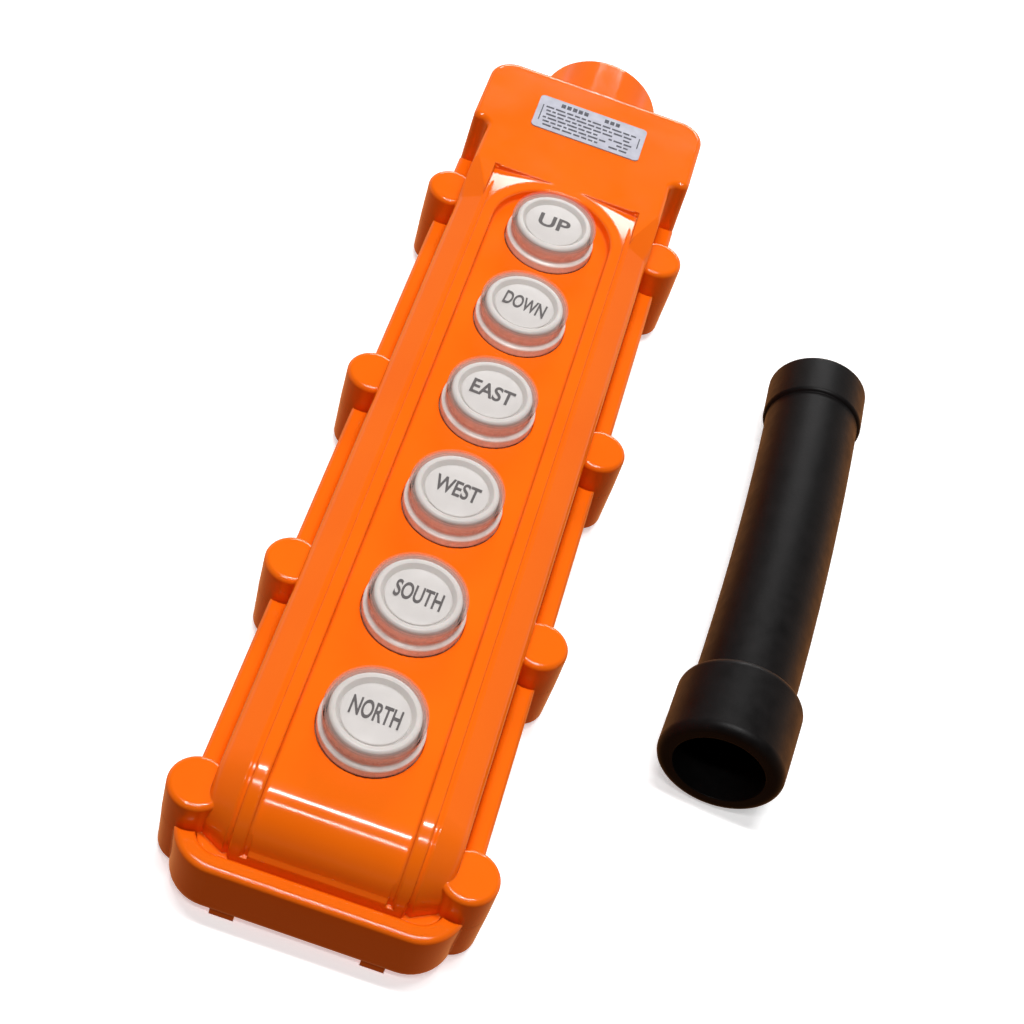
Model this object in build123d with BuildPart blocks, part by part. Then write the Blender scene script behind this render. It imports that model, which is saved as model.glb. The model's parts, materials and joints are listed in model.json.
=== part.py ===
from build123d import *
import math
import os

# Pendant control station: a two-shell housing with six push buttons in line, and a rubber cable sleeve beside it.
# Frame: +Z out of the front face, +Y towards the cable entry, +X to the right when the legends read upright.
# The origin is on the plane of the rear rails, under the middle of the button row. Millimetres.

os.makedirs("parts", exist_ok=True)

# ---- driving dimensions -------------------------------------------------------------------------------------------

BUTTONS = ("north", "south", "west", "east", "down", "up")  # from the lower end to the head
PITCH = 30.0  # between buttons
TRAVEL = 4.0  # of each button

# levels
BACK_Z = 1.0  # rear cover's back, above the rails
PARTING_Z = 14.0  # where the two shells meet
GASKET_T = 1.0
LIP_Z = 17.8  # top of the rear cover's lip
BOSS_Z = 24.4  # top of the front bosses
PANEL_UNDER_Z = 26.0
FLOOR_Z = 29.0  # channel floor round the buttons
RIDGE_Z = 32.0  # ridge round the channel, and the head

# plan
RIM_X = 29.3  # half width over the lip
RIM_LOW_Y = -109.2
RIM_CORNER_R = 9.4
LIP_T = 4.1
LIP_EDGE_R = 1.2
SHELL_GAP = 0.3  # between the lip and the front cover
SKIRT_T = 2.6  # front cover's side wall
BODY_X = RIM_X - LIP_T - SHELL_GAP  # half width of the body at the parting plane
BODY_LOW_Y = RIM_LOW_Y + LIP_T + SHELL_GAP
BODY_CORNER_R = RIM_CORNER_R - LIP_T - SHELL_GAP
RIM_WALL_T = 2.9  # rear cover's outer wall, behind which the thick rim is cored out from the back
CORE_TOP_Z = 11.0
CAVITY_X = BODY_X - SKIRT_T
CAVITY_LOW_Y = BODY_LOW_Y + SKIRT_T
CAVITY_HIGH_Y = 107.0
CAVITY_STEP_Z = 19.0  # above this the cavity stays clear of the roll-over
CAVITY_STEP_Y = 4.0
CAVITY_CORNER_R = BODY_CORNER_R - SKIRT_T
HEAD_LOW_Y = 108.0  # where the body widens into the head
HEAD_HIGH_Y = 134.0
HEAD_CORNER_R = 7.0
TOP_EDGE_R = 1.4
BACK_EDGE_R = 3.0
NECK_EDGE_R = 1.2
NOTCH_R = 2.1  # hollow corner between the body and the head, and the outer corner beside it
DRAFT = 1.2  # degrees

# channel, ridge and outer bands
CHANNEL_R = 14.9
RIDGE_OUT = 17.8
BAND_IN = 18.8
BAND_IN_Z = 31.5
BAND_OUT = 23.3
BAND_OUT_Z = 29.1
POCKET_LENGTH = 17.4  # of the corner pockets, from the last button towards the head
POCKET_DEPTH = 2.2
POCKET_EDGE = 0.3  # depth beside the ridge
POCKET_SLOPE = 9.0  # degrees
BAND_EDGE_DROP = 2.0  # rounding of the band's outer edge
SHELL_FOOT_T = 1.5  # left uncut over the gasket where the bands and creases end
CREASE_DEPTH = 0.9  # of the groove between the ridge and each band
CREASE_EDGE_R = 0.45
CHANNEL_EDGE_R = 0.6
CHANNEL_FLOOR_R = 0.8
HOLE_EDGE_R = 0.4
BAND_END_Y = 80.0  # the bands run out from here towards the head
RUN_OUT = 28.0  # length over which they do
RUN_OUT_DIRECTION = (0.19, 0.975, 0.115)
ROLL_R = 14.5  # roll-over of the lower end
ROLL_Y = -89.5
FLOOR_ROLL_R = 11.0
FLOOR_ROLL_Y = -92.5
FLOOR_ROLL_LOW_Z = 17.0
ROLL_ANGLE = 84.0  # degrees, where the roll-over meets the end wall
FLOOR_ROLL_ANGLE = 82.0

# neck and cable entry
NECK_R = 16.0
NECK_Z = 16.0
NECK_END_Y = 147.0
ENTRY_R = 12.0
COLLAR_SEAT_R = 14.2
COLLAR_SEAT_Y = (112.0, 133.0)

# screw bosses
BOSS_X = 27.3
BOSS_R = 6.0
BOSS_YS = (-95.7, -38.5, 19.5, 88.0)
BOSS_LOW_Z = 2.2
BOSS_EDGE_R = 1.2
BOSS_GAP = 0.6  # between a front boss and the cut in the lip
SCREW_HEAD_R = 3.8
SCREW_HEAD_H = 2.6
SCREW_TOP_Z = 21.0
SCREW_CLEAR_R = 2.3
SCREW_PILOT_R = 1.75

# buttons
HOLE_R = 10.9
CAP_R = 9.2
CAP_LOW_Z = 29.6
CAP_TOP_Z = 35.4
CAP_RIM = 1.3
CAP_RECESS = 0.6
DISC_T = 0.35
BOOT_R = 10.4
BOOT_T = 0.5
BOOT_TOP_Z = 36.1
BOOT_FLANGE_R = 13.0
BOOT_FLANGE_T = 1.2
ROD_R = 3.2
ROD_TOP_Z = 33.0
ROD_COLLAR_R = 4.4
ROD_COLLAR_Z = (17.2, 18.4)
PIN_R = 1.5
PIN_LOW_Z = 14.0
BRIDGE_T = 0.8
BRIDGE_HALF = (9.0, 2.8)

# contact blocks, one for each pair of buttons
BLOCK_X = 16.5
BLOCK_HALF_Y = 27.5
BLOCK_Z = (7.5, PANEL_UNDER_Z - BOOT_FLANGE_T)
CHAMBER = (26.0, 21.0)
CHAMBER_Z = (9.5, 22.0)
GUIDE_GAP = 0.08
EAR_X = 19.0
EAR_R = 2.7
POST_R = 2.4
EAR_Z = (15.0, 19.0)
SMALL_CLEAR_R = 1.7
SMALL_PILOT_R = 1.25
SMALL_HEAD_R = 2.6
SMALL_HEAD_H = 2.0
STRAP_Z = (12.4, 13.4)
STRAP_X = (6.4, 21.0)
STRAP_W = 6.0
RIVET_X = 7.8
RIVET_R = 1.5
RIVET_TOP_Z = ROD_COLLAR_Z[1] - TRAVEL - 0.1
TERMINAL_X = 18.9
SPRING_WIRE_R = 0.35
SPRING_R = 2.5
SPRING_TURNS = 5

# cable clamp inside the head end of the cavity
CLAMP_Y = 98.0
CLAMP_POST_X = 12.5
CLAMP_POST_R = 3.5
CLAMP_Z = (17.0, 20.0)
CABLE_R = 7.0
CLAMP_T = 2.0
CLAMP_W = 8.0

# rear rails
RAIL_X = 15.5
RAIL_W = 5.0
RAIL_HALF_LENGTH = 104.0

# label
LABEL = (29.0, 13.0, 0.3)
LABEL_Y = 117.7
LABEL_CORNER_R = 1.2

# cable sleeve, gently bent, beside the station
SLEEVE_START = (71.3, -46.5)
SLEEVE_HEADING = 5.4  # degrees from +Y towards +X at the collar
SLEEVE_BEND_R = 1100.0
SLEEVE_LENGTH = 121.0
COLLAR_R = 14.0
COLLAR_LENGTH = 20.0
TUBE_R = 11.3
RING_R = 12.1
RING_LENGTH = 12.0
SLEEVE_MOUTH_R = 10.2
SLEEVE_MOUTH_DEPTH = 17.0
SLEEVE_BORE_R = 8.4

pair_ys = [(-2 + 2 * k) * PITCH for k in range(3)]
button_ys = [(-2.5 + k) * PITCH for k in range(6)]
boss_places = [(side * BOSS_X, y) for side in (-1, 1) for y in BOSS_YS]


def save(builder, label):
    builder.part.label = label
    export_step(builder.part, f"parts/{label}.step")


# ---- plan outlines ------------------------------------------------------------------------------------------------


def rounded_plan(half_x, low_y, high_y, corner_r):
    """Rounded rectangle, symmetric about the Y axis."""
    with BuildSketch() as plan:
        with Locations((0, (low_y + high_y) / 2)):
            RectangleRounded(2 * half_x, high_y - low_y, corner_r)
    return plan.sketch


def housing_plan(body_x, low_y, low_r):
    """The body, which widens into the head where it is narrower than the head, with rounded shoulders."""
    step = [(body_x, HEAD_LOW_Y), (RIM_X, HEAD_LOW_Y)] if body_x < RIM_X else []
    with BuildSketch() as plan:
        with BuildLine():
            Polyline((0, low_y), (body_x, low_y), *step, (RIM_X, HEAD_HIGH_Y), (0, HEAD_HIGH_Y), (0, low_y))
        make_face()
        mirror(about=Plane.YZ)
        low_corners = plan.vertices().filter_by_position(Axis.Y, low_y, low_y)
        fillet([v for v in low_corners if abs(v.X) > 1], low_r)
        high_corners = plan.vertices().filter_by_position(Axis.Y, HEAD_HIGH_Y, HEAD_HIGH_Y)
        fillet([v for v in high_corners if abs(v.X) > 1], HEAD_CORNER_R)
        step_corners = [v for v in plan.vertices() if abs(v.Y - HEAD_LOW_Y) < 0.1]
        if step:
            fillet(step_corners, NOTCH_R)
    return plan.sketch


def neck_half(front):
    """Round neck with the same axis as the cable entry; the front or the rear side of the parting plane."""
    with BuildPart() as neck:
        with BuildSketch(Plane.XZ.offset(-NECK_END_Y)) as section:
            with Locations((0, NECK_Z)):
                Circle(NECK_R)
        extrude(amount=NECK_END_Y - COLLAR_SEAT_Y[0] + 1)
        fillet(neck.edges().group_by(Axis.Y)[-1], NECK_EDGE_R)
        keep = Keep.TOP if front else Keep.BOTTOM
        split(bisect_by=Plane.XY.offset(PARTING_Z), keep=keep)
    return neck.part


def cable_passage():
    """What the cable and the collar of the sleeve take out of the head and the neck."""
    with BuildPart() as passage:
        with BuildSketch(Plane.XZ.offset(-NECK_END_Y)) as bore:
            with Locations((0, NECK_Z)):
                Circle(ENTRY_R)
        extrude(amount=NECK_END_Y - CAVITY_HIGH_Y + 1)
        with BuildSketch(Plane.XZ.offset(-COLLAR_SEAT_Y[1])) as seat:
            with Locations((0, NECK_Z)):
                Circle(COLLAR_SEAT_R)
        extrude(amount=COLLAR_SEAT_Y[1] - COLLAR_SEAT_Y[0])
    return passage.part


passage_solid = cable_passage()

# ---- front cover --------------------------------------------------------------------------------------------------

ROLL_Z = RIDGE_Z - ROLL_R
ridge_roll_axis = Axis((0, ROLL_Y, ROLL_Z), (1, 0, 0))
below_roll = Plane(origin=(0, ROLL_Y + ROLL_Z, ROLL_Z), x_dir=(1, 0, 0), z_dir=(0, 0, -1))  # its y is the radius


def band_profile():
    """What the sloping band leaves out of the right side of the top, seen along the body: x across, z as y."""
    with BuildSketch() as profile:
        with BuildLine():
            slope = Line((BAND_IN, BAND_IN_Z), (BAND_OUT, BAND_OUT_Z))
            low_z = BAND_OUT_Z - BAND_EDGE_DROP
            edge = TangentArc(slope @ 1, (BODY_X - 0.25, low_z), tangent=slope % 1)
            Polyline(edge @ 1, (RIM_X, low_z), (RIM_X, RIDGE_Z + 2), (BAND_IN, RIDGE_Z + 2), slope @ 0)
        make_face()
    return profile.sketch


def crease_profile():
    """The groove between the ridge, with its rounded edge, and the band on the right side."""
    with BuildSketch() as profile:
        with BuildLine():
            top = Line((RIDGE_OUT - CREASE_EDGE_R, RIDGE_Z + 1), (RIDGE_OUT - CREASE_EDGE_R, RIDGE_Z))
            edge = RadiusArc(top @ 1, (RIDGE_OUT, RIDGE_Z - CREASE_EDGE_R), CREASE_EDGE_R)
            Polyline(
                edge @ 1,
                (RIDGE_OUT, RIDGE_Z - CREASE_DEPTH),
                (RIDGE_OUT + 0.4, RIDGE_Z - CREASE_DEPTH),
                (BAND_IN + 0.2, BAND_IN_Z),
                (BAND_IN + 0.2, RIDGE_Z + 1),
                top @ 0,
            )
        make_face()
    return profile.sketch


def channel_edge_profile():
    """What rounding the ridge's inner edge leaves out on the right side."""
    with BuildSketch() as profile:
        with BuildLine():
            low_z = RIDGE_Z - CHANNEL_EDGE_R
            edge = RadiusArc((CHANNEL_R, low_z), (CHANNEL_R + CHANNEL_EDGE_R, RIDGE_Z), CHANNEL_EDGE_R)
            Polyline(edge @ 1, (CHANNEL_R + CHANNEL_EDGE_R, RIDGE_Z + 1), (CHANNEL_R - 1, RIDGE_Z + 1))
            Polyline((CHANNEL_R - 1, RIDGE_Z + 1), (CHANNEL_R - 1, low_z), edge @ 0)
        make_face()
    return profile.sketch


with BuildPart() as band_cut:
    # straight along the body, run out towards the head, and round the roll-over and down the lower end
    with BuildSketch(Plane.XZ.offset(-BAND_END_Y)) as band_end:
        add(band_profile())
    extrude(amount=BAND_END_Y - ROLL_Y)
    extrude(band_end.sketch, amount=RUN_OUT, dir=RUN_OUT_DIRECTION)
    with BuildSketch(Plane.XZ.offset(-ROLL_Y)):
        add(band_profile())
    revolve(axis=ridge_roll_axis, revolution_arc=90)
    with BuildSketch(below_roll):
        add(band_profile())
    extrude(amount=ROLL_Z - PARTING_Z - SHELL_FOOT_T)

with BuildPart() as crease_cut:
    with BuildSketch(Plane.XZ.offset(-(button_ys[-1] + RIDGE_OUT))):
        add(crease_profile())
    extrude(amount=button_ys[-1] + RIDGE_OUT - ROLL_Y)
    with BuildSketch(Plane.XZ.offset(-ROLL_Y)):
        add(crease_profile())
    revolve(axis=ridge_roll_axis, revolution_arc=90)
    with BuildSketch(below_roll):
        add(crease_profile())
    extrude(amount=ROLL_Z - PARTING_Z - SHELL_FOOT_T)

with BuildPart() as channel_edge_cut:
    with BuildSketch(Plane.XZ.offset(-button_ys[-1])):
        add(channel_edge_profile())
    revolve(axis=Axis((0, button_ys[-1], 0), (0, 0, 1)), revolution_arc=90)
    with BuildSketch(Plane.XZ.offset(-button_ys[-1])):
        add(channel_edge_profile())
    extrude(amount=button_ys[-1] - ROLL_Y)
    with BuildSketch(Plane.XZ.offset(-ROLL_Y)):
        add(channel_edge_profile())
    revolve(axis=ridge_roll_axis, revolution_arc=90)

with BuildPart() as corner_pocket:
    # shallow pocket in the right-hand corner between the head and the round end of the ridge: its floor falls away
    # from the ridge
    with BuildSketch(Plane.XY.offset(RIDGE_Z - POCKET_DEPTH)):
        with Locations((BAND_IN / 2, button_ys[-1] + POCKET_LENGTH / 2)):
            Rectangle(BAND_IN, POCKET_LENGTH)
    extrude(amount=POCKET_DEPTH + 1)
    with BuildSketch(Plane.XY.offset(RIDGE_Z + 1)):
        with Locations((0, button_ys[-1])):
            Circle(RIDGE_OUT)
    extrude(amount=-RIDGE_Z, mode=Mode.SUBTRACT)
    floor_fall = (POCKET_DEPTH - POCKET_EDGE) / math.tan(math.radians(POCKET_SLOPE))
    with Locations((0, button_ys[-1], RIDGE_Z - POCKET_DEPTH)):
        Cone(
            RIDGE_OUT + floor_fall,
            RIDGE_OUT,
            POCKET_DEPTH - POCKET_EDGE,
            align=(Align.CENTER, Align.CENTER, Align.MIN),
            mode=Mode.SUBTRACT,
        )

with BuildPart() as front_bosses:
    with BuildSketch(Plane.XY.offset(PARTING_Z)):
        with Locations(*boss_places):
            Circle(BOSS_R)
    extrude(amount=BOSS_Z - PARTING_Z)
    fillet(front_bosses.edges().group_by(Axis.Z)[-1], BOSS_EDGE_R)

with BuildPart() as front_cover:
    with BuildSketch(Plane.XY.offset(PARTING_Z)):
        add(housing_plan(BODY_X, BODY_LOW_Y, BODY_CORNER_R))
    extrude(amount=RIDGE_Z - PARTING_Z, taper=DRAFT)
    fillet(front_cover.faces().sort_by(Axis.Z)[-1].outer_wire().edges(), TOP_EDGE_R)
    add(neck_half(front=True))

    # outer bands, one each side, and the groove between each and the ridge
    add(band_cut.part, mode=Mode.SUBTRACT)
    add(band_cut.part.mirror(Plane.YZ), mode=Mode.SUBTRACT)

    add(crease_cut.part, mode=Mode.SUBTRACT)
    add(crease_cut.part.mirror(Plane.YZ), mode=Mode.SUBTRACT)

    add(corner_pocket.part, mode=Mode.SUBTRACT)
    add(corner_pocket.part.mirror(Plane.YZ), mode=Mode.SUBTRACT)

    # lower end rolls over into the end wall
    with BuildSketch(Plane.YZ.offset(-RIM_X)) as roll:
        with BuildLine():
            arc = CenterArc((ROLL_Y, RIDGE_Z - ROLL_R), ROLL_R, 90, ROLL_ANGLE)
            Polyline(arc @ 1, (BODY_LOW_Y, PARTING_Z), (RIM_LOW_Y - 2, PARTING_Z))
            Polyline((RIM_LOW_Y - 2, PARTING_Z), (RIM_LOW_Y - 2, RIDGE_Z + 2), (ROLL_Y, RIDGE_Z + 2), arc @ 0)
        make_face()
    extrude(amount=2 * RIM_X, mode=Mode.SUBTRACT)

    # channel round the buttons, whose floor rolls over too
    with BuildSketch(Plane.XY.offset(FLOOR_Z)) as channel:
        with Locations((0, button_ys[-1])):
            Circle(CHANNEL_R)
        with Locations((0, (button_ys[-1] + FLOOR_ROLL_Y) / 2)):
            Rectangle(2 * CHANNEL_R, button_ys[-1] - FLOOR_ROLL_Y)
    extrude(amount=RIDGE_Z, mode=Mode.SUBTRACT)
    with BuildSketch(Plane.YZ.offset(-CHANNEL_R)) as floor_roll:
        with BuildLine():
            arc = CenterArc((FLOOR_ROLL_Y, FLOOR_Z - FLOOR_ROLL_R), FLOOR_ROLL_R, 90, FLOOR_ROLL_ANGLE)
            Polyline(arc @ 1, (BODY_LOW_Y, FLOOR_ROLL_LOW_Z), (RIM_LOW_Y, FLOOR_ROLL_LOW_Z))
            Polyline(
                (RIM_LOW_Y, FLOOR_ROLL_LOW_Z),
                (RIM_LOW_Y, RIDGE_Z + 2),
                (FLOOR_ROLL_Y + 1, RIDGE_Z + 2),
                (FLOOR_ROLL_Y + 1, FLOOR_Z),
                arc @ 0,
            )
        make_face()
    extrude(amount=2 * CHANNEL_R, mode=Mode.SUBTRACT)

    channel_foot = [
        edge
        for edge in front_cover.edges().filter_by_position(Axis.Z, FLOOR_Z, FLOOR_Z)
        if abs(edge.center().Z - FLOOR_Z) < 0.01 and abs(edge.start_point().X) > CHANNEL_R - 0.1
    ]
    fillet(channel_foot, CHANNEL_FLOOR_R)
    add(channel_edge_cut.part, mode=Mode.SUBTRACT)
    add(channel_edge_cut.part.mirror(Plane.YZ), mode=Mode.SUBTRACT)

    # inside of the shell
    with BuildSketch(Plane.XY.offset(PARTING_Z)):
        add(rounded_plan(CAVITY_X, CAVITY_LOW_Y, CAVITY_HIGH_Y, CAVITY_CORNER_R))
    extrude(amount=CAVITY_STEP_Z - PARTING_Z, mode=Mode.SUBTRACT)
    with BuildSketch(Plane.XY.offset(CAVITY_STEP_Z)):
        add(rounded_plan(CAVITY_X, CAVITY_LOW_Y + CAVITY_STEP_Y, CAVITY_HIGH_Y, CAVITY_CORNER_R))
    extrude(amount=PANEL_UNDER_Z - CAVITY_STEP_Z, mode=Mode.SUBTRACT)
    add(passage_solid, mode=Mode.SUBTRACT)

    # screw bosses, closed on top
    add(front_bosses.part)

    # posts for the contact blocks and the cable clamp
    with BuildSketch(Plane.XY.offset(EAR_Z[1])) as posts:
        with Locations(*[(side * EAR_X, y) for side in (-1, 1) for y in pair_ys]):
            Circle(POST_R)
    extrude(amount=PANEL_UNDER_Z - EAR_Z[1] + 0.5)
    with BuildSketch(Plane.XY.offset(CLAMP_Z[1])) as clamp_posts:
        with Locations((-CLAMP_POST_X, CLAMP_Y), (CLAMP_POST_X, CLAMP_Y)):
            Circle(CLAMP_POST_R)
    extrude(amount=PANEL_UNDER_Z - CLAMP_Z[1] + 0.5)

    # holes
    with BuildSketch(Plane.XY.offset(PARTING_Z)) as pilots:
        with Locations(*boss_places):
            Circle(SCREW_PILOT_R)
    extrude(amount=SCREW_TOP_Z + 0.5 - PARTING_Z, mode=Mode.SUBTRACT)
    with BuildSketch(Plane.XY.offset(EAR_Z[1])) as small_pilots:
        with Locations(*[(side * EAR_X, y) for side in (-1, 1) for y in pair_ys]):
            Circle(SMALL_PILOT_R)
    extrude(amount=PANEL_UNDER_Z - EAR_Z[1], mode=Mode.SUBTRACT)
    with BuildSketch(Plane.XY.offset(CLAMP_Z[1])) as clamp_pilots:
        with Locations((-CLAMP_POST_X, CLAMP_Y), (CLAMP_POST_X, CLAMP_Y)):
            Circle(SMALL_PILOT_R)
    extrude(amount=PANEL_UNDER_Z - CLAMP_Z[1], mode=Mode.SUBTRACT)
    with BuildSketch(Plane.XY.offset(PANEL_UNDER_Z - 1)) as button_holes:
        with Locations(*[(0, y) for y in button_ys]):
            Circle(HOLE_R)
    extrude(amount=RIDGE_Z, mode=Mode.SUBTRACT)
    hole_edges = front_cover.edges().filter_by(GeomType.CIRCLE).filter_by_position(Axis.Z, FLOOR_Z, FLOOR_Z)
    fillet([edge for edge in hole_edges if abs(edge.radius - HOLE_R) < 0.01], HOLE_EDGE_R)

save(front_cover, "front_cover")

# ---- rear cover ---------------------------------------------------------------------------------------------------

with BuildPart() as lip:
    # upstanding lip along the sides and the lower end, rounded on top, cut away round each front boss
    with BuildSketch(Plane.XY.offset(PARTING_Z)):
        add(rounded_plan(RIM_X, RIM_LOW_Y, HEAD_HIGH_Y, RIM_CORNER_R))
        add(
            rounded_plan(RIM_X - LIP_T, RIM_LOW_Y + LIP_T, HEAD_HIGH_Y + 10, RIM_CORNER_R - LIP_T),
            mode=Mode.SUBTRACT,
        )
        with Locations((0, HEAD_LOW_Y - SHELL_GAP)):
            Rectangle(3 * RIM_X, HEAD_HIGH_Y, align=(Align.CENTER, Align.MIN), mode=Mode.SUBTRACT)
    extrude(amount=LIP_Z - PARTING_Z)
    with BuildSketch(Plane.XY.offset(PARTING_Z)):
        with Locations(*boss_places):
            Circle(BOSS_R + BOSS_GAP)
    extrude(amount=LIP_Z, mode=Mode.SUBTRACT)
    fillet(lip.edges().group_by(Axis.Z)[-1], LIP_EDGE_R)

with BuildPart() as rear_cover:
    # tray with its walls, the back edge rounded
    with BuildSketch(Plane.XY.offset(PARTING_Z)):
        add(housing_plan(RIM_X, RIM_LOW_Y, RIM_CORNER_R))
    extrude(amount=-(PARTING_Z - BACK_Z), taper=DRAFT)
    fillet(rear_cover.faces().sort_by(Axis.Z)[0].outer_wire().edges(), BACK_EDGE_R)
    add(neck_half(front=False))

    add(lip.part)

    # the thick rim is cored out from the back, between the bosses
    with BuildSketch():
        add(rounded_plan(RIM_X - RIM_WALL_T, RIM_LOW_Y + RIM_WALL_T, HEAD_LOW_Y, RIM_CORNER_R - RIM_WALL_T))
        add(rounded_plan(BODY_X, BODY_LOW_Y, HEAD_HIGH_Y, BODY_CORNER_R), mode=Mode.SUBTRACT)
    extrude(amount=CORE_TOP_Z, mode=Mode.SUBTRACT)

    # rear bosses, tapered towards the back
    with BuildSketch(Plane.XY.offset(PARTING_Z)):
        with Locations(*boss_places):
            Circle(BOSS_R)
    extrude(amount=-(PARTING_Z - BOSS_LOW_Z), taper=DRAFT)

    # rails that the station lies on, and the cross rib between them
    with BuildSketch():
        with Locations((-RAIL_X, 0), (RAIL_X, 0)):
            SlotCenterToCenter(2 * RAIL_HALF_LENGTH, RAIL_W, rotation=90)
        Rectangle(2 * RAIL_X, RAIL_W)
    extrude(amount=BACK_Z + 0.5)
    with BuildSketch():
        with Locations((-RAIL_X, RIM_LOW_Y + 4), (RAIL_X, RIM_LOW_Y + 4)):
            Rectangle(RAIL_W, 6.4)
    extrude(amount=BACK_Z + 3)

    # inside of the tray
    with BuildSketch(Plane.XY.offset(BACK_Z + 2.5)):
        add(rounded_plan(CAVITY_X, CAVITY_LOW_Y, CAVITY_HIGH_Y, CAVITY_CORNER_R))
    extrude(amount=PARTING_Z, mode=Mode.SUBTRACT)
    with BuildSketch(Plane.XY.offset(PARTING_Z - GASKET_T)):
        add(rounded_plan(BODY_X, BODY_LOW_Y, CAVITY_HIGH_Y + SKIRT_T, BODY_CORNER_R))
    extrude(amount=GASKET_T, mode=Mode.SUBTRACT)
    add(passage_solid, mode=Mode.SUBTRACT)

    # screw holes, with room for the heads
    with BuildSketch():
        with Locations(*boss_places):
            Circle(SCREW_CLEAR_R)
    extrude(amount=PARTING_Z + 1, mode=Mode.SUBTRACT)
    with BuildSketch():
        with Locations(*boss_places):
            Circle(SCREW_HEAD_R + 0.4)
    extrude(amount=BOSS_LOW_Z + SCREW_HEAD_H, mode=Mode.SUBTRACT)

save(rear_cover, "rear_cover")

with BuildPart() as housing_gasket:
    with BuildSketch(Plane.XY.offset(PARTING_Z - GASKET_T)):
        add(rounded_plan(BODY_X, BODY_LOW_Y, CAVITY_HIGH_Y + SKIRT_T, BODY_CORNER_R))
        add(rounded_plan(CAVITY_X, CAVITY_LOW_Y, CAVITY_HIGH_Y, CAVITY_CORNER_R), mode=Mode.SUBTRACT)
        with Locations(*boss_places):
            Circle(BOSS_R - 2.4, mode=Mode.SUBTRACT)
    extrude(amount=GASKET_T)

save(housing_gasket, "housing_gasket")

# ---- fasteners ----------------------------------------------------------------------------------------------------


def screw(head_r, head_h, shank_r, shank_h):
    """Pan head below the origin plane, shank above it, cross recess in the head."""
    with BuildPart() as one:
        Cylinder(head_r, head_h, align=(Align.CENTER, Align.CENTER, Align.MAX))
        fillet(one.edges().group_by(Axis.Z)[0], 0.35 * head_h)
        with BuildSketch(Plane.XY.offset(-head_h)):
            Rectangle(1.2 * head_r, 0.28 * head_r)
            Rectangle(0.28 * head_r, 1.2 * head_r)
        extrude(amount=0.5 * head_h, mode=Mode.SUBTRACT)
        Cylinder(shank_r, shank_h, align=(Align.CENTER, Align.CENTER, Align.MIN))
        chamfer(one.edges().group_by(Axis.Z)[-1], 0.3 * shank_r)
    return one.part


def save_screws(label, one, places):
    """The same screw at every place, as separate solids of one node."""
    group = Compound(label=label, children=[one.moved(Location(place)) for place in places])
    export_step(group, f"parts/{label}.step")


housing_screw = screw(SCREW_HEAD_R, SCREW_HEAD_H, SCREW_PILOT_R, SCREW_TOP_Z - BOSS_LOW_Z - SCREW_HEAD_H)
head_seat_z = BOSS_LOW_Z + SCREW_HEAD_H
save_screws("housing_screws", housing_screw, [(x, y, head_seat_z) for x, y in boss_places])

ear_places = [(side * EAR_X, y) for side in (-1, 1) for y in pair_ys]
block_screw = screw(SMALL_HEAD_R, SMALL_HEAD_H, SMALL_PILOT_R, PANEL_UNDER_Z - EAR_Z[0] - 0.5)
save_screws("contact_block_screws", block_screw, [(x, y, EAR_Z[0]) for x, y in ear_places])

terminal_places = [(side * TERMINAL_X, y) for side in (-1, 1) for y in button_ys]
terminal_screw = screw(SMALL_HEAD_R - 0.3, SMALL_HEAD_H, SMALL_PILOT_R, 5.0)
save_screws("terminal_screws", terminal_screw, [(x, y, STRAP_Z[0]) for x, y in terminal_places])

clamp_places = [(side * CLAMP_POST_X, CLAMP_Y) for side in (-1, 1)]
clamp_screw = screw(SMALL_HEAD_R, SMALL_HEAD_H, SMALL_PILOT_R, PANEL_UNDER_Z - CLAMP_Z[0] - 0.5)
save_screws("cable_clamp_screws", clamp_screw, [(x, y, CLAMP_Z[0]) for x, y in clamp_places])

with BuildPart() as cable_clamp:
    with BuildSketch(Plane.XZ.offset(-CLAMP_Y - CLAMP_W / 2)):
        with Locations((0, sum(CLAMP_Z) / 2)):
            Rectangle(2 * CLAMP_POST_X + 8, CLAMP_Z[1] - CLAMP_Z[0])
        with Locations((0, CLAMP_Z[0])):
            Circle(CABLE_R + CLAMP_T)
            Circle(CABLE_R, mode=Mode.SUBTRACT)
        with Locations((0, CLAMP_Z[1])):
            Rectangle(2 * CABLE_R, 2 * (CLAMP_Z[1] - CLAMP_Z[0]), mode=Mode.SUBTRACT)
        with Locations((0, CLAMP_Z[1] + CABLE_R)):
            Rectangle(4 * CABLE_R, 2 * CABLE_R, mode=Mode.SUBTRACT)
    extrude(amount=CLAMP_W)
    fillet(cable_clamp.edges().filter_by(Axis.Z).group_by(Axis.X)[0], 2)
    fillet(cable_clamp.edges().filter_by(Axis.Z).group_by(Axis.X)[-1], 2)
    with Locations(*[(x, y, 0) for x, y in clamp_places]):
        Cylinder(SMALL_PILOT_R, 2 * RIDGE_Z, mode=Mode.SUBTRACT)

save(cable_clamp, "cable_clamp")

# ---- label --------------------------------------------------------------------------------------------------------

with BuildPart() as rating_label:
    with BuildSketch(Plane.XY.offset(RIDGE_Z)):
        with Locations((0, LABEL_Y)):
            RectangleRounded(LABEL[0], LABEL[1], LABEL_CORNER_R)
    extrude(amount=LABEL[2])

save(rating_label, "rating_label")

# ---- contact blocks with their fixed contacts ---------------------------------------------------------------------

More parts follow.
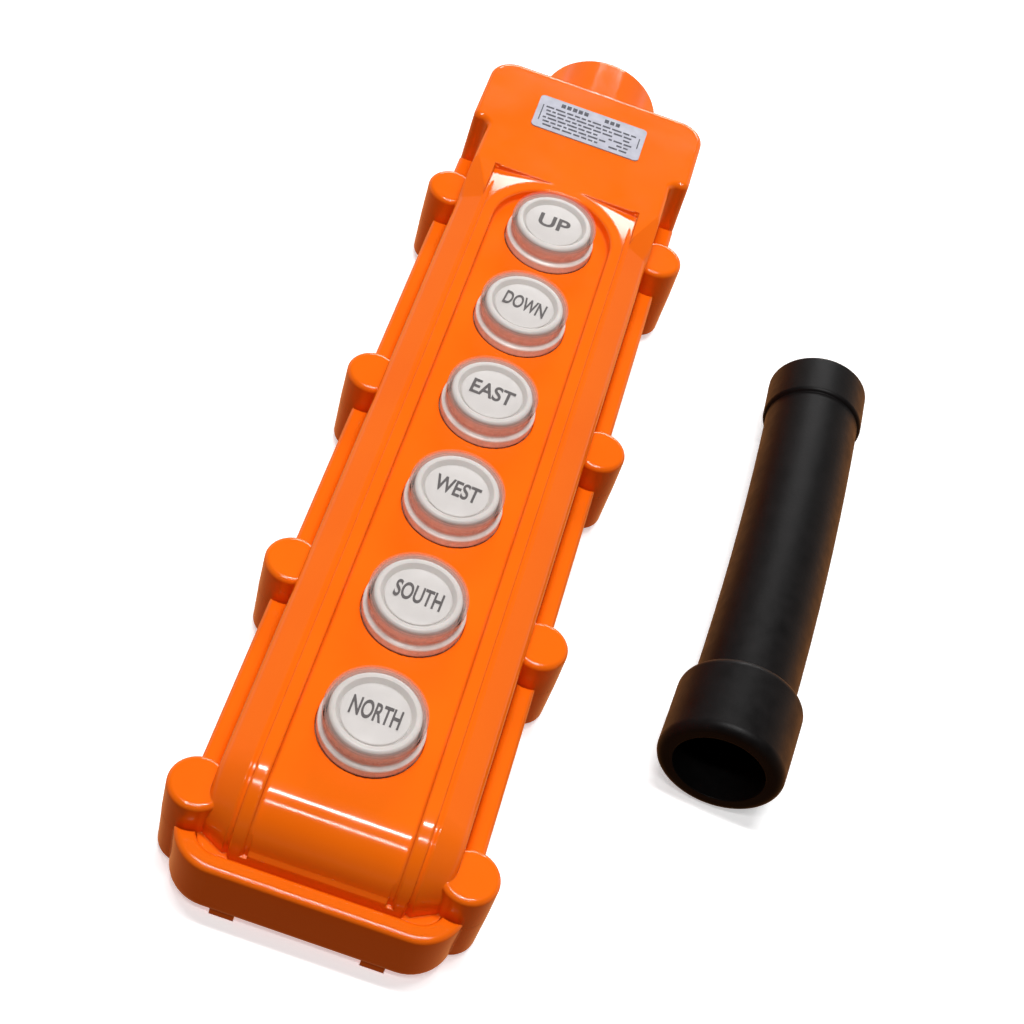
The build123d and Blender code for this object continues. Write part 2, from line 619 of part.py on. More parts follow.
for number, block_y in enumerate(pair_ys, start=1):
    own_buttons = (block_y - PITCH / 2, block_y + PITCH / 2)
    own_terminals = [(side * TERMINAL_X, y) for side in (-1, 1) for y in own_buttons]
    own_ears = [(side * EAR_X, block_y) for side in (-1, 1)]

    with BuildPart() as contact_block:
        with BuildSketch(Plane.XY.offset(BLOCK_Z[0])):
            with Locations((0, block_y)):
                RectangleRounded(2 * BLOCK_X, 2 * BLOCK_HALF_Y, 1.5)
        extrude(amount=BLOCK_Z[1] - BLOCK_Z[0])
        # ears for the mounting screws and shelves over the terminal straps
        with BuildSketch(Plane.XY.offset(EAR_Z[0])):
            with Locations((0, block_y)):
                SlotCenterToCenter(2 * EAR_X, 2 * EAR_R)
        extrude(amount=EAR_Z[1] - EAR_Z[0])
        with BuildSketch(Plane.XY.offset(STRAP_Z[1])):
            with Locations(*[(0, y) for y in own_buttons]):
                Rectangle(2 * STRAP_X[1], STRAP_W + 2)
        extrude(amount=5)
        # chamber, guide and strap slot of each button
        with BuildSketch(Plane.XY.offset(CHAMBER_Z[0])):
            with Locations(*[(0, y) for y in own_buttons]):
                Rectangle(*CHAMBER)
        extrude(amount=CHAMBER_Z[1] - CHAMBER_Z[0], mode=Mode.SUBTRACT)
        with BuildSketch(Plane.XY.offset(CHAMBER_Z[1])):
            with Locations(*[(0, y) for y in own_buttons]):
                Circle(ROD_R + GUIDE_GAP)
        extrude(amount=BLOCK_Z[1], mode=Mode.SUBTRACT)
        with BuildSketch(Plane.XY.offset(STRAP_Z[0])):
            with Locations(*[(0, y) for y in own_buttons]):
                Rectangle(2 * STRAP_X[1] + 1, STRAP_W)
        extrude(amount=STRAP_Z[1] - STRAP_Z[0], mode=Mode.SUBTRACT)
        # screw holes
        with BuildSketch(Plane.XY.offset(STRAP_Z[1])):
            with Locations(*own_terminals):
                Circle(SMALL_PILOT_R)
        extrude(amount=4.2, mode=Mode.SUBTRACT)
        with BuildSketch(Plane.XY.offset(EAR_Z[0])):
            with Locations(*own_ears):
                Circle(SMALL_CLEAR_R)
        extrude(amount=EAR_Z[1] - EAR_Z[0], mode=Mode.SUBTRACT)
        # clear of the head of each mounting screw
        with BuildSketch(Plane.XY.offset(BLOCK_Z[0])):
            with Locations(*own_ears):
                Circle(SMALL_HEAD_R + 0.3)
        extrude(amount=EAR_Z[0] - BLOCK_Z[0], mode=Mode.SUBTRACT)
    save(contact_block, f"contact_block_{number}")

    with BuildPart() as terminals:
        for side in (-1, 1):
            for y in own_buttons:
                middle_x = side * sum(STRAP_X) / 2
                with BuildSketch(Plane.XY.offset(STRAP_Z[0])):
                    with Locations((middle_x, y)):
                        Rectangle(STRAP_X[1] - STRAP_X[0], STRAP_W)
                    with Locations((side * TERMINAL_X, y)):
                        Circle(SMALL_PILOT_R, mode=Mode.SUBTRACT)
                extrude(amount=STRAP_Z[1] - STRAP_Z[0])
                with BuildSketch(Plane.XY.offset(STRAP_Z[1])):
                    with Locations((side * RIVET_X, y)):
                        Circle(RIVET_R)
                extrude(amount=RIVET_TOP_Z - STRAP_Z[1])
    save(terminals, f"terminals_{number}")

# ---- buttons ------------------------------------------------------------------------------------------------------

for name, y in zip(BUTTONS, button_ys):
    base = Plane((0, y, 0))

    with BuildPart() as cap:
        with BuildSketch(Plane.XZ.offset(-y)):
            with BuildLine():
                Polyline(
                    (0, ROD_TOP_Z),
                    (ROD_R, ROD_TOP_Z),
                    (ROD_R, CAP_LOW_Z),
                    (ROD_R + 1.4, CAP_LOW_Z),
                    (ROD_R + 1.4, CAP_TOP_Z - 2.4),
                    (CAP_R - 1.4, CAP_TOP_Z - 2.4),
                    (CAP_R - 1.4, CAP_LOW_Z),
                    (CAP_R, CAP_LOW_Z),
                    (CAP_R, CAP_TOP_Z - 0.5),
                    (CAP_R - 0.4, CAP_TOP_Z),
                    (CAP_R - CAP_RIM, CAP_TOP_Z),
                    (CAP_R - CAP_RIM - 0.2, CAP_TOP_Z - CAP_RECESS),
                    (0, CAP_TOP_Z - CAP_RECESS),
                    (0, ROD_TOP_Z),
                )
            make_face()
        revolve(axis=Axis((0, y, 0), (0, 0, 1)))
    save(cap, f"cap_{name}")

    with BuildPart() as legend_disc:
        with BuildSketch(base.offset(CAP_TOP_Z - CAP_RECESS)):
            Circle(CAP_R - CAP_RIM - 0.4)
        extrude(amount=DISC_T)
    save(legend_disc, f"legend_disc_{name}")

    with BuildPart() as plunger:
        with BuildSketch(base.offset(ROD_COLLAR_Z[0])):
            Circle(ROD_R)
        extrude(amount=ROD_TOP_Z - ROD_COLLAR_Z[0])
        with BuildSketch(base.offset(ROD_COLLAR_Z[0])):
            Circle(ROD_COLLAR_R)
        extrude(amount=ROD_COLLAR_Z[1] - ROD_COLLAR_Z[0])
        with BuildSketch(base.offset(PIN_LOW_Z)):
            Circle(PIN_R)
        extrude(amount=ROD_COLLAR_Z[0] - PIN_LOW_Z)
    save(plunger, f"plunger_{name}")

    with BuildPart() as contact_bridge:
        with BuildSketch(base.offset(ROD_COLLAR_Z[1])):
            Rectangle(2 * BRIDGE_HALF[0], 2 * BRIDGE_HALF[1])
            Circle(ROD_COLLAR_R)
            Circle(ROD_R, mode=Mode.SUBTRACT)
        extrude(amount=BRIDGE_T)
    save(contact_bridge, f"contact_bridge_{name}")

    with BuildPart() as return_spring:
        spring_low = CHAMBER_Z[0] + SPRING_WIRE_R
        spring_high = ROD_COLLAR_Z[0] - SPRING_WIRE_R
        with BuildLine():
            coil = Helix((spring_high - spring_low) / SPRING_TURNS, spring_high - spring_low, SPRING_R,
                         center=(0, y, spring_low))
        with BuildSketch(Plane(origin=coil @ 0, z_dir=coil % 0)):
            Circle(SPRING_WIRE_R)
        sweep(is_frenet=True)
    save(return_spring, f"return_spring_{name}")

    with BuildPart() as boot:
        with BuildSketch(Plane.XZ.offset(-y)):
            with BuildLine():
                Polyline(
                    (0, BOOT_TOP_Z - BOOT_T),
                    (BOOT_R - BOOT_T, BOOT_TOP_Z - BOOT_T),
                    (BOOT_R - BOOT_T, PANEL_UNDER_Z - BOOT_FLANGE_T),
                    (BOOT_FLANGE_R, PANEL_UNDER_Z - BOOT_FLANGE_T),
                    (BOOT_FLANGE_R, PANEL_UNDER_Z),
                    (BOOT_R, PANEL_UNDER_Z),
                    (BOOT_R, BOOT_TOP_Z),
                    (0, BOOT_TOP_Z),
                    (0, BOOT_TOP_Z - BOOT_T),
                )
            make_face()
        revolve(axis=Axis((0, y, 0), (0, 0, 1)))
    save(boot, f"boot_{name}")

# ---- cable sleeve -------------------------------------------------------------------------------------------------


def bent(profile_r, start, end):
    """Round rubber section swept along the sleeve's bend, from start to end along its axis."""
    angles = (math.degrees(start / SLEEVE_BEND_R), math.degrees((end - start) / SLEEVE_BEND_R))
    with BuildPart() as length_part:
        with BuildSketch(Plane.XZ):
            Circle(profile_r)
        revolve(axis=Axis((-SLEEVE_BEND_R, 0, 0), (0, 0, 1)), revolution_arc=angles[1])
    return length_part.part.rotate(Axis((-SLEEVE_BEND_R, 0, 0), (0, 0, 1)), angles[0])


tilt = math.degrees(math.atan2(COLLAR_R - RING_R, SLEEVE_LENGTH - (COLLAR_LENGTH + RING_LENGTH) / 2))
sleeve_place = Location((*SLEEVE_START, COLLAR_R), (-tilt, 0, -SLEEVE_HEADING))

collar = bent(COLLAR_R, 0, COLLAR_LENGTH)
collar = collar.fillet(2.0, collar.edges())
ring = bent(RING_R, SLEEVE_LENGTH - RING_LENGTH, SLEEVE_LENGTH)
ring = ring.fillet(0.9, ring.edges())
rubber = bent(TUBE_R, 1, SLEEVE_LENGTH - 1) + collar + ring
rubber = rubber - bent(SLEEVE_BORE_R, -1, SLEEVE_LENGTH + 1) - bent(SLEEVE_MOUTH_R, -1, SLEEVE_MOUTH_DEPTH)

with BuildPart() as cable_sleeve:
    add(rubber.moved(sleeve_place))

save(cable_sleeve, "cable_sleeve")
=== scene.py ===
import json
import math

import bmesh
import bpy
from mathutils import Matrix, Vector


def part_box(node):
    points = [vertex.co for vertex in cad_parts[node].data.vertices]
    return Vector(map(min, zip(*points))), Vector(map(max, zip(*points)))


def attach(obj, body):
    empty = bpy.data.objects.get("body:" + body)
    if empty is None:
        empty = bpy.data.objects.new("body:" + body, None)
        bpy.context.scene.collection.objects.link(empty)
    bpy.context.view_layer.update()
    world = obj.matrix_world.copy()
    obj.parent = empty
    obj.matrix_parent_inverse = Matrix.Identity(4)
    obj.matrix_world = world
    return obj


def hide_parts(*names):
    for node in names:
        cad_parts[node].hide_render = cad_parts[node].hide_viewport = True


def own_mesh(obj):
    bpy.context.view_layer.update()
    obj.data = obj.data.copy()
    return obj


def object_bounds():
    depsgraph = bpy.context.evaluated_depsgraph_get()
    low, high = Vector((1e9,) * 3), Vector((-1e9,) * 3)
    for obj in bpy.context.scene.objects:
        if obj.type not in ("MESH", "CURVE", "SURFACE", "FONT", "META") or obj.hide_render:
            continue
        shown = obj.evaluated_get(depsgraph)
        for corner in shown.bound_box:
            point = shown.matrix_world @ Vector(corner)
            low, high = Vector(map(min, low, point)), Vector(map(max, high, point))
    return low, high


# Looks of the pendant control station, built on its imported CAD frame.
# Metres, +Z out of the front face, +Y towards the neck. Sizes below are in millimetres, as in the CAD.

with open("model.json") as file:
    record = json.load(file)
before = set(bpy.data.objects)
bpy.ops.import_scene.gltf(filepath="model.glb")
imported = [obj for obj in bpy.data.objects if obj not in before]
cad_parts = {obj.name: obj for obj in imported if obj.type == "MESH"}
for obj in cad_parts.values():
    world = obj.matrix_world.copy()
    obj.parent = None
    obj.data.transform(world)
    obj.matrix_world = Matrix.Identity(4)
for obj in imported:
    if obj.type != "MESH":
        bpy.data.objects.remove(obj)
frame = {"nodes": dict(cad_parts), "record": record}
cad_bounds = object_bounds()

MM = 0.001

# ---- sizes ---------------------------------------------------------------------------------------

BUTTONS = ("north", "south", "west", "east", "down", "up")
LEGEND_HEIGHT = 4.5
LEGENDS = {  # body: word, width over the letters, tilt of the insert in degrees
    "north": ("NORTH", 10.3, -1.5),
    "south": ("SOUTH", 10.2, -2.0),
    "west": ("WEST", 10.0, -3.5),
    "east": ("EAST", 10.0, -4.0),
    "down": ("DOWN", 10.2, -6.0),
    "up": ("UP", 7.8, -2.0),
}
LEGEND_THICKNESS = 0.03
SEGMENTS = 96  # round a button
ARC_STEPS = 5  # in a rounded profile corner
FLOOR_Z = 29.0  # channel floor round the buttons

CAP_WALL = 1.4
CAP_SKIN = 2.4  # thickness of the cap's top
CAP_RIM = 1.3
RECESS_DEPTH = 1.15
RECESS_SLOPE = 0.8  # of the recess wall, across

INSERT_INSET = 0.5  # from the edge of the CAD disc
INSERT_SINK = 0.5  # the insert reaches this far below the CAD disc, to the floor of the deeper recess

BOOT_R = 10.4
BOOT_SKIN = 0.5
BOOT_RIM = 1.35  # raised ring round the crown
CROWN_SINK = 0.12
BOOT_WAIST = 0.45  # the wall draws in by this much above the bead
BEAD_OUT = 0.4
BEAD_HEIGHT = 2.0
FLANGE_T = 1.2
BOOT_ZONES_WITH_PAINTED_LIGHT = (  # height, tint, density: bead, groove with painted shade under the crown, wall with a painted pink glow of the orange housing, and clear crown
    (30.0, (0.95, 0.88, 0.82), 0.95),
    (31.4, (0.95, 0.88, 0.82), 0.90),
    (32.0, (0.96, 0.62, 0.52), 0.72),
    (33.0, (0.98, 0.80, 0.74), 0.74),
    (34.8, (0.98, 0.80, 0.74), 0.62),
    (35.45, (0.94, 0.80, 0.76), 0.05),
)

WIRE_R = 0.35
COIL_TURNS = 6
COIL_STEPS = 24  # in a turn
WIRE_SIDES = 8
CLOSED_TURN = 0.8  # of each end of the spring

PRINT_T = 0.03  # of the bars on the label
BAR_WORDS = (2.1, 1.2, 2.6, 0.9, 1.7, 2.3, 1.4)  # widths that the rows repeat
BAR_ROWS = 6
BAR_PITCH = 1.45
BAR_HEIGHT = 0.62
BAR_GAP = 0.45
DIVIDER_X = 2.5
DIVIDER_GAP = 3.0

# ---- mesh helpers --------------------------------------------------------------------------------


def round_corners(points):
    """A profile of (x, y, corner radius) as plain points, with an arc at each corner that has a radius."""
    line = []
    for k, (x, y, radius) in enumerate(points):
        corner = Vector((x, y))
        if radius == 0:
            line.append(corner)
            continue
        before = (Vector(points[k - 1][:2]) - corner).normalized()
        after = (Vector(points[k + 1][:2]) - corner).normalized()
        half = before.angle(after) / 2
        centre = corner + (before + after).normalized() * radius / math.sin(half)
        first = corner + before * radius / math.tan(half) - centre
        last = corner + after * radius / math.tan(half) - centre
        for step in range(ARC_STEPS + 1):
            line.append(centre + first.lerp(last, step / ARC_STEPS).normalized() * radius)
    return line


def new_piece(name, mesh, body, material, replaces=()):
    """Links a bmesh, already in place in millimetres, as a smooth piece that rides on a body."""
    bmesh.ops.remove_doubles(mesh, verts=mesh.verts, dist=0.0005)
    bmesh.ops.recalc_face_normals(mesh, faces=mesh.faces)
    bmesh.ops.scale(mesh, vec=(MM, MM, MM), verts=mesh.verts)
    data = bpy.data.meshes.new(name)
    mesh.to_mesh(data)
    mesh.free()
    data.shade_smooth()
    data.materials.append(material)
    piece = bpy.data.objects.new(name, data)
    bpy.context.scene.collection.objects.link(piece)
    weighted = piece.modifiers.new("weighted normals", "WEIGHTED_NORMAL")
    weighted.keep_sharp = True
    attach(piece, body)
    if replaces:
        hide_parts(*replaces)
    return piece


def turned(profile, centre_y):
    """A bmesh of a profile of (radius, height, corner radius) turned about the button's axis."""
    mesh = bmesh.new()
    verts = [mesh.verts.new((point.x, 0, point.y)) for point in round_corners(profile)]
    edges = [mesh.edges.new(pair) for pair in zip(verts, verts[1:])]
    bmesh.ops.spin(
        mesh, geom=verts + edges, cent=(0, 0, 0), axis=(0, 0, 1),
        angle=2 * math.pi, steps=SEGMENTS, use_merge=True,
    )
    bmesh.ops.translate(mesh, vec=(0, centre_y, 0), verts=mesh.verts)
    return mesh


def bars(places, low_z, thickness):
    """A bmesh of flat printed bars, each given as (x, y, width, height)."""
    mesh = bmesh.new()
    for x, y, width, height in places:
        made = bmesh.ops.create_cube(mesh, size=1.0)
        bmesh.ops.scale(mesh, vec=(width, height, thickness), verts=made["verts"])
        bmesh.ops.translate(mesh, vec=(x, y, low_z + thickness / 2), verts=made["verts"])
    return mesh


# ---- materials -----------------------------------------------------------------------------------


class Finish:
    """A procedural material: colour, roughness and bump from noise in object coordinates, in metres."""

    def __init__(self, name, **sockets):
        self.material = bpy.data.materials.new(name)
        self.material.use_nodes = True
        self.tree = self.material.node_tree
        self.shader = self.tree.nodes["Principled BSDF"]
        self.coordinates = self.node("ShaderNodeTexCoord").outputs["Object"]
        for socket, value in sockets.items():
            self.shader.inputs[socket.replace("_", " ")].default_value = value

    def node(self, kind, **properties):
        made = self.tree.nodes.new(kind)
        for name, value in properties.items():
            setattr(made, name, value)
        return made

    def link(self, output, target):
        self.tree.links.new(output, target)

    def noise(self, size, detail=3.0, stretch=(1, 1, 1)):
        """Noise whose features are about this many millimetres across."""
        mapping = self.node("ShaderNodeMapping")
        mapping.inputs["Scale"].default_value = stretch
        self.link(self.coordinates, mapping.inputs["Vector"])
        texture = self.node("ShaderNodeTexNoise")
        texture.inputs["Scale"].default_value = 1 / (size * MM)
        texture.inputs["Detail"].default_value = detail
        self.link(mapping.outputs["Vector"], texture.inputs["Vector"])
        return texture.outputs["Fac"]

    def spread(self, fac, low, high):
        """The middle half of a noise, spread over a range of values."""
        mapped = self.node("ShaderNodeMapRange")
        for socket, value in (("From Min", 0.25), ("From Max", 0.75), ("To Min", low), ("To Max", high)):
            mapped.inputs[socket].default_value = value
        self.link(fac, mapped.inputs["Value"])
        return mapped.outputs["Result"]

    def colour(self, fac, dark, light):
        ramp = self.node("ShaderNodeValToRGB")
        ramp.color_ramp.elements[0].position = 0.3
        ramp.color_ramp.elements[0].color = (*dark, 1)
        ramp.color_ramp.elements[1].position = 0.7
        ramp.color_ramp.elements[1].color = (*light, 1)
        self.link(fac, ramp.inputs["Fac"])
        self.link(ramp.outputs["Color"], self.shader.inputs["Base Color"])
        return self

    def roughness(self, fac, low, high):
        self.link(self.spread(fac, low, high), self.shader.inputs["Roughness"])
        return self

    def bump(self, fac, depth, rounding=0.0):
        """Relief of this depth in millimetres, with sharp edges softened over a radius in millimetres."""
        made = self.node("ShaderNodeBump")
        made.inputs["Strength"].default_value = 1.0
        made.inputs["Distance"].default_value = depth * MM
        self.link(fac, made.inputs["Height"])
        if rounding:
            bevel = self.node("ShaderNodeBevel", samples=6)
            bevel.inputs["Radius"].default_value = rounding * MM
            self.link(bevel.outputs["Normal"], made.inputs["Normal"])
        self.link(made.outputs["Normal"], self.shader.inputs["Normal"])
        return self


def orange_plastic():
    made = Finish("orange_plastic", Specular_IOR_Level=0.42)
    made.colour(made.noise(26, detail=3), (0.95, 0.148, 0.0035), (0.975, 0.164, 0.0045))
    made.roughness(made.noise(9, detail=5), 0.09, 0.15)
    return made.bump(made.noise(2.6, detail=2), 0.006, rounding=0.5)


def black_rubber():
    made = Finish("sleeve_rubber", Specular_IOR_Level=0.16)
    made.colour(made.noise(6, detail=6), (0.003, 0.0025, 0.0025), (0.006, 0.005, 0.005))
    made.roughness(made.noise(3, detail=5), 0.38, 0.52)
    return made.bump(made.noise(0.8, detail=3), 0.02, rounding=0.4)


def white_plastic():
    made = Finish("cap_plastic", Subsurface_Weight=0.08, Subsurface_Scale=0.002)
    made.colour(made.noise(5, detail=3), (0.61, 0.575, 0.545), (0.67, 0.635, 0.605))
    made.roughness(made.noise(2, detail=4), 0.32, 0.44)
    return made.bump(made.noise(0.4), 0.003)


def white_insert():
    made = Finish("legend_insert")
    made.colour(made.noise(4, detail=3), (0.60, 0.575, 0.555), (0.65, 0.625, 0.605))
    made.roughness(made.noise(1.5, detail=4), 0.42, 0.55)
    return made.bump(made.noise(0.25), 0.004)


def printed_ink(name, dark, light):
    made = Finish(name)
    made.colour(made.noise(0.6, detail=3), dark, light)
    made.roughness(made.noise(0.4), 0.5, 0.65)
    return made.bump(made.noise(0.2), 0.002)


def clear_silicone():
    """Thin milky silicone: clear over the cap, whiter and denser at its bead, with a painted pink glow of
    the orange housing in its wall and painted shade in the groove under the crown.
    """
    made = Finish("boot_silicone", Specular_IOR_Level=0.5)
    low, high = (corner.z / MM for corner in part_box("boot_up"))
    # the height is a share of the boot's own, so that it squashes with the boot
    height = made.node("ShaderNodeSeparateXYZ")
    made.link(made.node("ShaderNodeTexCoord").outputs["Generated"], height.inputs["Vector"])
    # the ramp paints a pink glow of the orange housing into the wall and painted shade into the groove
    # under the crown
    ramp = made.node("ShaderNodeValToRGB")
    while len(ramp.color_ramp.elements) < len(BOOT_ZONES_WITH_PAINTED_LIGHT):
        ramp.color_ramp.elements.new(0.5)
    for element, (level, tint_with_painted_light, density) in zip(ramp.color_ramp.elements, BOOT_ZONES_WITH_PAINTED_LIGHT):
        element.position = (level - low) / (high - low)
        element.color = (*tint_with_painted_light, density)
    made.link(height.outputs["Z"], ramp.inputs["Fac"])
    made.link(ramp.outputs["Color"], made.shader.inputs["Base Color"])
    cloud = made.node("ShaderNodeMath", operation="MULTIPLY")
    made.link(ramp.outputs["Alpha"], cloud.inputs[0])
    made.link(made.spread(made.noise(2.5, detail=4), 0.85, 1.07), cloud.inputs[1])
    made.link(cloud.outputs["Value"], made.shader.inputs["Alpha"])
    made.roughness(made.noise(1.5, detail=4), 0.2, 0.34)
    return made.bump(made.noise(0.9, detail=3), 0.01)


def foil():
    made = Finish("label_foil", Metallic=0.1, Specular_IOR_Level=0.4)
    made.colour(made.noise(2.5, detail=5), (0.38, 0.38, 0.45), (0.47, 0.47, 0.54))
    made.roughness(made.noise(1.2, detail=5), 0.38, 0.5)
    return made.bump(made.noise(1.8, detail=3), 0.01, rounding=0.15)


def zinc():
    made = Finish("zinc_steel", Metallic=1.0)
    made.colour(made.noise(1.5, detail=4), (0.46, 0.46, 0.45), (0.62, 0.62, 0.60))
    made.roughness(made.noise(0.8, detail=5), 0.28, 0.45)
    return made.bump(made.noise(0.3, detail=3), 0.01, rounding=0.15)


def brass():
    made = Finish("contact_brass", Metallic=1.0)
    made.colour(made.noise(1.5, detail=4), (0.56, 0.40, 0.14), (0.72, 0.54, 0.22))
    made.roughness(made.noise(0.8, detail=5), 0.22, 0.38)
    return made.bump(made.noise(0.4, detail=3), 0.008)


def moulded(name, dark, light, rough=(0.4, 0.55)):
    made = Finish(name)
    made.colour(made.noise(4, detail=5), dark, light)
    made.roughness(made.noise(2, detail=5), *rough)
    return made.bump(made.noise(0.3, detail=3), 0.01, rounding=0.2)


finishes = {
    "housing_orange": orange_plastic(),
    "gasket_rubber": moulded("gasket_rubber", (0.012, 0.012, 0.012), (0.03, 0.03, 0.03), (0.6, 0.8)),
    "screw_steel": zinc(),
    "label_foil": foil(),
    "block_black": moulded("block_thermoset", (0.012, 0.012, 0.014), (0.03, 0.03, 0.033)),
    "contact_brass": brass(),
    "cap_white": white_plastic(),
    "legend_white": white_insert(),
    "plunger_nylon": moulded("plunger_nylon", (0.62, 0.60, 0.52), (0.74, 0.72, 0.64)),
    "boot_clear": clear_silicone(),
    "sleeve_rubber": black_rubber(),
}
finishes["clamp_steel"] = finishes["screw_steel"]
finishes["spring_steel"] = finishes["screw_steel"]
legend_ink = printed_ink("legend_ink", (0.008, 0.008, 0.01), (0.025, 0.025, 0.028))
label_ink = printed_ink("label_ink", (0.02, 0.02, 0.03), (0.10, 0.10, 0.13))

for part in frame["record"]["subparts"]:
    data = frame["nodes"][part["node"]].data
    data.materials.clear()
    data.materials.append(finishes[part["material_slot"]].material)

# ---- buttons -------------------------------------------------------------------------------------


def button_centre(name):
    low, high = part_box(f"cap_{name}")
    return (low.y + high.y) / 2 / MM


def add_cap(name, centre_y):
    """The hard cap under the boot, with a raised rim round the insert."""
    low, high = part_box(f"cap_{name}")
    radius, bottom, top = (high.x - low.x) / 2 / MM, low.z / MM, high.z / MM
    profile = [
        (0, top - CAP_SKIN, 0),
        (radius - CAP_WALL, top - CAP_SKIN, 0.3),
        (radius - CAP_WALL, bottom, 0.3),
        (radius, bottom, 0.3),
        (radius, top, 0.7),
        (radius - CAP_RIM, top, 0.3),
        (radius - CAP_RIM - RECESS_SLOPE, top - RECESS_DEPTH, 0.2),
        (0, top - RECESS_DEPTH, 0),
    ]
    new_piece(
        f"button_cap_{name}", turned(profile, centre_y), f"button_{name}",
        finishes["cap_white"].material, [f"cap_{name}"],
    )


def add_insert(name, centre_y):
    """The disc that carries the legend, slightly crowned, in the recess of the cap."""
    low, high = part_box(f"legend_disc_{name}")
    radius, bottom, top = (high.x - low.x) / 2 / MM - INSERT_INSET, low.z / MM, high.z / MM
    profile = [
        (0, bottom - INSERT_SINK, 0),
        (radius, bottom - INSERT_SINK, 0),
        (radius, top - 0.5, 0.3),
        (radius * 0.8, top - 0.15, 0),
        (radius * 0.5, top, 0),
        (0, top, 0),
    ]
    new_piece(
        f"button_insert_{name}", turned(profile, centre_y), f"button_{name}",
        finishes["legend_white"].material, [f"legend_disc_{name}"],
    )


def add_legend(name, centre_y):
    """The direction word printed on the insert, condensed to its width."""
    word, width, tilt = LEGENDS[name]
    curve = bpy.data.curves.new(f"legend_{name}", "FONT")
    curve.body = word
    curve.align_x = "CENTER"
    curve.align_y = "CENTER"
    curve.extrude = 0.01
    curve.offset = 0.024
    letters = bpy.data.objects.new(f"legend_text_{name}", curve)
    bpy.context.scene.collection.objects.link(letters)
    bpy.context.view_layer.update()
    data = bpy.data.meshes.new_from_object(letters)
    bpy.data.objects.remove(letters)
    corners = [vert.co for vert in data.vertices]
    spans = [(min(c[k] for c in corners), max(c[k] for c in corners)) for k in range(3)]
    size = (width, LEGEND_HEIGHT, LEGEND_THICKNESS)
    scale = Matrix.Diagonal([size[k] / (spans[k][1] - spans[k][0]) for k in range(3)]).to_4x4()
    middle = Matrix.Translation([-(low + high) / 2 for low, high in spans])
    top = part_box(f"legend_disc_{name}")[1].z / MM
    place = Matrix.Translation((0, centre_y, top + LEGEND_THICKNESS * 0.4))
    data.transform(Matrix.Rotation(math.radians(tilt), 4, "Z") @ scale @ middle)
    data.transform(place)
    mesh = bmesh.new()
    mesh.from_mesh(data)
    piece = new_piece(f"legend_{name}", mesh, f"button_{name}", legend_ink.material)
    piece.data.shade_flat()


def add_boot(name, centre_y):
    """The clear boot: thin crown, rounded shoulder, waisted wall, and a bead at the channel floor."""
    low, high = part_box(f"boot_{name}")
    bottom, top = low.z / MM, high.z / MM
    flange = (high.x - low.x) / 2 / MM
    waist = BOOT_R - BOOT_WAIST
    inside = BOOT_R - BOOT_SKIN
    outer = [
        (0, top - CROWN_SINK, 0),
        (BOOT_R - BOOT_RIM, top - CROWN_SINK, 0.4),
        (BOOT_R - 1.0, top, 0.3),
        (BOOT_R, top, 0.5),
        (BOOT_R - 0.1, top - 2.2, 0.6),
        (waist - 0.1, FLOOR_Z + BEAD_HEIGHT + 1.0, 0.5),
        (waist, FLOOR_Z + BEAD_HEIGHT + 0.4, 0.3),
        (BOOT_R + BEAD_OUT, FLOOR_Z + BEAD_HEIGHT, 0.5),
        (BOOT_R + BEAD_OUT, FLOOR_Z - 0.1, 0.45),
        (BOOT_R - 0.1, FLOOR_Z - 0.5, 0.2),
        (BOOT_R - 0.1, bottom + FLANGE_T, 0.2),
        (flange, bottom + FLANGE_T, 0.3),
        (flange, bottom, 0.3),
    ]
    inner = [
        (inside - 0.45, bottom, 0.3),
        (inside - 0.45, FLOOR_Z + 2.0, 0.5),
        (inside - 0.15, top - 2.2, 0.5),
        (inside - 0.1, top - BOOT_SKIN, 0.4),
        (0, top - BOOT_SKIN, 0),
    ]
    piece = new_piece(
        f"button_boot_{name}", turned(outer + inner, centre_y), "housing",
        finishes["boot_clear"].material, [f"boot_{name}"],
    )
    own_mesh(piece)


def add_spring(name, centre_y):
    """The return spring under the plunger: a wire swept along its helix, with closed end turns."""
    low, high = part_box(f"return_spring_{name}")
    coil = (high.x - low.x) / 2 / MM - WIRE_R
    bottom, top = low.z / MM + WIRE_R, high.z / MM - WIRE_R
    mesh = bmesh.new()
    rings = []
    for k in range(COIL_TURNS * COIL_STEPS + 1):
        angle = 2 * math.pi * k / COIL_STEPS
        share = min(max((k / COIL_STEPS - CLOSED_TURN) / (COIL_TURNS - 2 * CLOSED_TURN), 0), 1)
        radial = Vector((math.cos(angle), math.sin(angle), 0))
        centre = radial * coil + Vector((0, centre_y, bottom + share * (top - bottom)))
        ring = []
        for side in range(WIRE_SIDES):
            turn = 2 * math.pi * side / WIRE_SIDES
            offset = radial * math.cos(turn) + Vector((0, 0, math.sin(turn)))
            ring.append(mesh.verts.new(centre + WIRE_R * offset))
        rings.append(ring)
    for one, two in zip(rings, rings[1:]):
        for side in range(WIRE_SIDES):
            after = (side + 1) % WIRE_SIDES
            mesh.faces.new((one[side], one[after], two[after], two[side]))
    mesh.faces.new(rings[0])
    mesh.faces.new(reversed(rings[-1]))
    piece = new_piece(
        f"button_spring_{name}", mesh, "housing",
        finishes["spring_steel"].material, [f"return_spring_{name}"],
    )
    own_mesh(piece)


for button in BUTTONS:
    y = button_centre(button)
    add_cap(button, y)
    add_insert(button, y)
    add_legend(button, y)
    add_boot(button, y)
    add_spring(button, y)

# ---- print on the label --------------------------------------------------------------------------

label_low, label_high = (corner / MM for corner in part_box("rating_label"))


